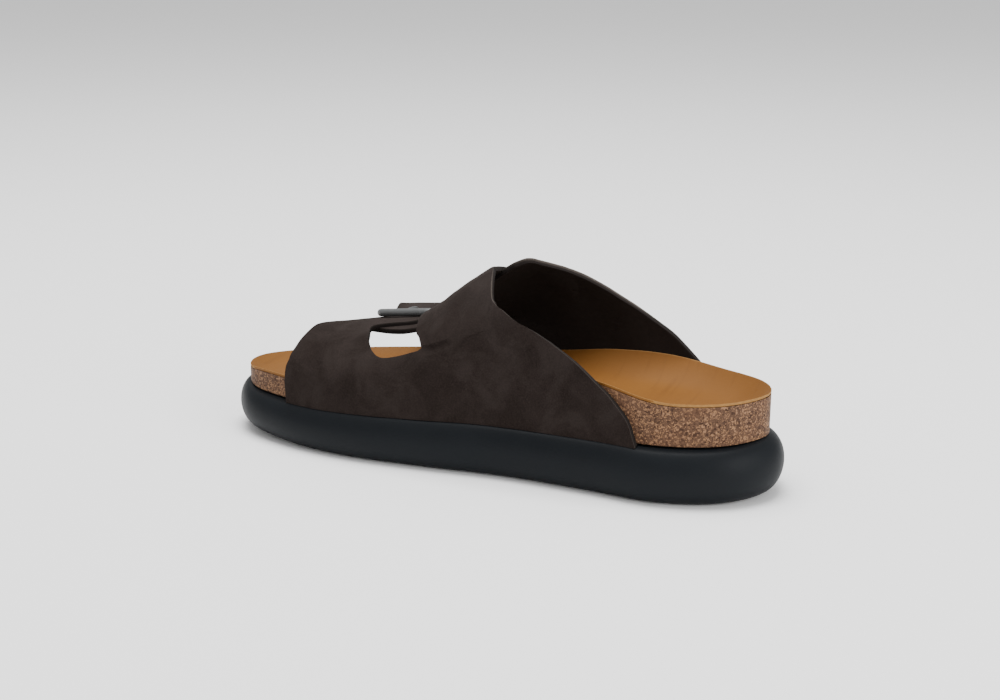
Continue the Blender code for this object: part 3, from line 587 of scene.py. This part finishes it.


# Creases pressed one by one: start and end as (station, place), half width, height out of the leather
creases = {
    "innerPiece": [
        ((0.584, 0.547), (0.528, 0.566), 0.0017, -0.0009),
        ((0.569, 0.505), (0.546, 0.440), 0.0042, 0.0010),
        ((0.505, 0.605), (0.470, 0.665), 0.0045, -0.0008),
        ((0.540, 0.560), (0.490, 0.575), 0.0040, 0.0005),
        ((0.640, 0.600), (0.560, 0.690), 0.0050, -0.0006),
        ((0.770, 0.300), (0.740, 0.520), 0.0050, 0.0005),
        ((0.800, 0.340), (0.790, 0.560), 0.0040, -0.0004),
        ((0.700, 0.560), (0.690, 0.760), 0.0060, 0.0006),
        ((0.460, 0.420), (0.400, 0.600), 0.0050, 0.0006),
        ((0.520, 0.300), (0.480, 0.420), 0.0045, -0.0006),
        ((0.430, 0.700), (0.350, 0.760), 0.0060, -0.0006),
        ((0.600, 0.780), (0.480, 0.800), 0.0060, 0.0005),
        ((0.610, 0.160), (0.560, 0.000), 0.0040, -0.0004),
        ((0.575, 0.120), (0.540, -0.080), 0.0035, 0.0004),
    ],
    "outerPiece": [
        ((0.600, -0.600), (0.500, -0.680), 0.0040, -0.0008),
        ((0.560, -0.520), (0.470, -0.600), 0.0055, 0.0007),
        ((0.420, -0.420), (0.360, -0.620), 0.0060, 0.0006),
        ((0.470, -0.300), (0.420, -0.480), 0.0050, -0.0006),
        ((0.330, -0.640), (0.280, -0.760), 0.0060, -0.0005),
        ((0.660, -0.600), (0.650, -0.780), 0.0050, 0.0005),
    ],
}


# How a crease fades to its ends, and the soft and fine waves of the whole sheet
waves = {
    "spots": 9, "fadeFrom": 0.15, "fadeOver": 0.7, "softScale": 42, "softHeight": 0.00045,
    "fineScale": 130, "fineHeight": 0.00012,
}


def meshPoints(mesh):
    points = np.empty(len(mesh.vertices) * 3)
    mesh.vertices.foreach_get("co", points)
    return points.reshape(-1, 3)


def nearness(points, station, place, radius):  # 1 at a spot of the last, soft to 0 around it
    spot = lastPoint(station, place, False)
    return np.exp(-((points - spot) ** 2).sum(axis=1) / (2 * radius * radius))


def pressCreases(mesh, rows, seed):
    points = meshPoints(mesh)
    normals = np.array([vert.normal[:] for vert in mesh.vertices])
    rise = np.zeros(len(points))
    for (startStation, startPlace), (endStation, endPlace), width, height in rows:
        for t in np.linspace(0, 1, waves["spots"]):
            station = startStation + (endStation - startStation) * t
            place = startPlace + (endPlace - startPlace) * t
            fade = sin(pi * (waves["fadeFrom"] + waves["fadeOver"] * t))
            press = nearness(points, station, place, width) * height * fade
            rise = np.where(np.abs(press) > np.abs(rise), press, rise)
    soft = [noise.noise(Vector(p) * waves["softScale"] + Vector((seed, 0, 0))) for p in points]
    fine = [noise.noise(Vector(p) * waves["fineScale"] + Vector((0, seed, 0))) for p in points]
    rise = rise + np.array(soft) * waves["softHeight"] + np.array(fine) * waves["fineHeight"]
    points += normals * rise[:, None]
    mesh.vertices.foreach_set("co", points.ravel())
    mesh.update()


# Pale places on the strap tops, part brushed nap and part painted highlight: station, place, radius,
# strength
bloomAndHighlightSpots = {
    "innerPiece": [
        (0.710, -0.130, 0.0090, 0.32), (0.575, -0.330, 0.0100, 0.30), (0.470, 0.300, 0.0120, 0.10),
    ],
    "outerPiece": [(0.560, -0.560, 0.0120, 0.20)],
}


def setPointValues(mesh, name, values):
    mesh.attributes.new(name, "FLOAT", "POINT").data.foreach_set("value", np.asarray(values, float))


def paintBloomAndHighlight(mesh, rows):
    points = meshPoints(mesh)
    bloomAndHighlight = np.zeros(len(points))
    for station, place, radius, strength in rows:
        bloomAndHighlight = np.maximum(bloomAndHighlight, strength * nearness(points, station, place, radius))
    setPointValues(mesh, "bloomAndHighlight", bloomAndHighlight)


# Cut edge: how pale it is all along, and the paler stretches as station, place, radius
paleEdge = {
    "even": 0.56,
    "innerPiece": [
        (0.474, 0.310, 0.0070), (0.467, 0.380, 0.0070), (0.455, 0.430, 0.0070), (0.436, 0.480, 0.0060),
        (0.412, 0.520, 0.0050),
    ],
    "outerPiece": [
        (0.470, -0.200, 0.0090), (0.450, -0.260, 0.0090), (0.420, -0.320, 0.0090),
        (0.385, -0.385, 0.0090), (0.345, -0.450, 0.0090), (0.310, -0.505, 0.0070),
    ],
}


def markLayers(mesh, rows):  # the grain side comes first in a thickened sheet, and the lining side is 0
    points = meshPoints(mesh)
    paleness = np.zeros(len(points))
    for station, place, radius in rows:
        paleness = np.maximum(paleness, nearness(points, station, place, radius))
    layer = paleEdge["even"] + (1 - paleEdge["even"]) * paleness
    layer[len(points) // 2:] = 0
    setPointValues(mesh, "layer", layer)


# The edge's rounding, its least angle in degrees, how near the wall counts as on it, the waves' seeds
leather = {
    "round": 0.00045, "sharp": 50, "onWall": 0.0012,
    "seeds": {"innerPiece": 3.0, "outerPiece": 11.0},
}


def clearSole(mesh):  # the lower edge stands on the crown of the sole
    for vert in mesh.vertices:
        top = float(soleHeight(vert.co.y, last["ledge"])) + last["gap"]
        wall = innerWall if vert.co.x > 0 else outerWall
        edge = float(np.interp(vert.co.y, wall[:, 1], wall[:, 0]))
        if vert.co.z < top and abs(vert.co.x) < abs(edge) - leather["onWall"]:
            vert.co.z = top


# Punched holes down the middle of each tongue: station, places, the tongue's buckle, on the front strap
holes = {
    "radius": 0.00085, "depth": 0.007, "sides": 20,
    "innerPiece": [
        (0.7070, (-0.300, -0.365, -0.430, -0.495), "buckleFront", True),
        (0.5570, (-0.480, -0.540, -0.600), "buckleRear", False),
    ],
}


def punchHoles(piece, rows):
    shape = bmesh.new()
    for station, places, buckle, isFront in rows:
        for place in places:
            at = np.array([place])
            normal = lastNormal(np.array([station]), at, isFront)[0]
            lift = tongueLift(at, last[buckle], isFront)[0]
            spot = lastPoint(station, at, isFront)[0] + normal * lift
            aim = Vector(normal).to_track_quat("Z", "Y").to_matrix().to_4x4()
            lie = Matrix.Translation(Vector(spot)) @ aim
            bmesh.ops.create_cone(shape, cap_ends=True, segments=holes["sides"], matrix=lie,
                                  radius1=holes["radius"], radius2=holes["radius"],
                                  depth=holes["depth"])
    punch = bpy.data.objects.new("punch", finishShape(shape, "punch"))
    bpy.context.scene.collection.objects.link(punch)
    addModifier(piece, "BOOLEAN", "holes", object=punch, operation="DIFFERENCE", solver="EXACT")
    bakeModifiers(piece)
    bpy.data.objects.remove(punch)


def makeLeather(name, blocks):
    piece = addPiece(name, makeSheet(name, blocks), [nubuck, lining, rawEdge], ["upper"])
    addModifier(piece, "SUBSURF", "smooth", levels=2, render_levels=2,
                boundary_smooth="PRESERVE_CORNERS")
    pressCreases(bakeModifiers(piece), creases[name], leather["seeds"][name])
    paintBloomAndHighlight(piece.data, bloomAndHighlightSpots[name])
    addModifier(piece, "SOLIDIFY", "wall", thickness=last["wall"], offset=-1, material_offset=1,
                material_offset_rim=2, use_quality_normals=True)
    markLayers(bakeModifiers(piece), paleEdge[name])
    addModifier(piece, "BEVEL", "softEdge", width=leather["round"], segments=2, limit_method="ANGLE",
                angle_limit=radians(leather["sharp"]))
    clearSole(bakeModifiers(piece))
    if name in holes:
        punchHoles(piece, holes[name])
    return piece


innerPiece = makeLeather("innerPiece", [
    (straps["innerFront"], straps["innerRear"], straps["frontColumns"], True, last["buckleFront"]),
    (straps["innerRear"], straps["innerFront"], straps["rearColumns"], False, last["buckleRear"]),
])
outerPiece = makeLeather("outerPiece", [
    (straps["outerFront"], straps["outerRear"], straps["frontColumns"], True, None),
    (straps["outerRear"], straps["outerFront"], straps["rearColumns"], False, None),
])
print("upper", len(innerPiece.data.polygons), len(outerPiece.data.polygons))

# Buckles and prongs are rounded from their CAD nodes, and swell a little to keep their thickness
rodLook = {"buckle": 0.00026, "prong": 0.00010}
for side in ("front", "rear"):
    for kind in ("buckle", "prong"):
        shape = nodeShape(kind + "_" + side)
        for vert in shape.verts:
            vert.co += vert.normal * rodLook[kind]
        name = kind + side.capitalize()
        rod = addPiece(name, finishShape(shape, name), [lacquer],
                       [kind + "_" + side])
        addModifier(rod, "SUBSURF", "round", levels=2, render_levels=2)
print("buckles")

# Floor, light and camera: angles in degrees, sizes in metres, light power in watts
studio = {
    "turn": 117.07, "lift": 16.82, "roll": 0.37, "distance": 0.8, "target": (0.0025, 0.0, 0.025),
    "lens": 62.5, "shift": (-0.0021, 0.0489), "floor": 6.0, "sky": 0.8,
    # place, size, power
    "lights": {"overhead": ((0.0, -0.1, 1.5), 1.0, 36), "rightSide": ((0.35, 1.3, 0.5), 0.9, 14)},
}
shape = bmesh.new()
bmesh.ops.create_grid(shape, x_segments=1, y_segments=1, size=studio["floor"])
floor = bpy.data.objects.new("floor", finishShape(shape, "floor"))
bpy.context.scene.collection.objects.link(floor)
# White background paper: pale, matt, with next to no gloss
paper = startMaterial("studioPaper", {
    "Base Color": hexColour("#fbfbfb"), "Roughness": 0.9, "Specular IOR Level": 0.05,
})[0]
floor.data.materials.append(paper)

world = bpy.data.worlds.new("studio")
world.use_nodes = True
sky = world.node_tree.nodes["Background"]
sky.inputs["Color"].default_value = (1, 1, 1, 1)
sky.inputs["Strength"].default_value = studio["sky"]
bpy.context.scene.world = world


def addLight(name, at, size, power):
    light = bpy.data.lights.new(name, "AREA")
    light.energy = power
    light.size = size
    item = bpy.data.objects.new(name, light)
    item.location = at
    item.rotation_euler = Vector(at).to_track_quat("Z", "Y").to_euler()
    bpy.context.scene.collection.objects.link(item)


for name, (at, size, power) in studio["lights"].items():
    addLight(name, at, size, power)

turn, lift = radians(studio["turn"]), radians(studio["lift"])
back = Vector((sin(turn) * cos(lift), -cos(turn) * cos(lift), sin(lift)))
target = Vector(studio["target"])
camera = bpy.data.objects.new("camera", bpy.data.cameras.new("camera"))
camera.data.lens = studio["lens"]
camera.data.shift_x, camera.data.shift_y = studio["shift"]
camera.matrix_world = (
    Matrix.Translation(target + back * studio["distance"])
    @ back.to_track_quat("Z", "Y").to_matrix().to_4x4()
    @ Matrix.Rotation(radians(studio["roll"]), 4, "Z")
)
bpy.context.scene.collection.objects.link(camera)
bpy.context.scene.camera = camera
print("studio")
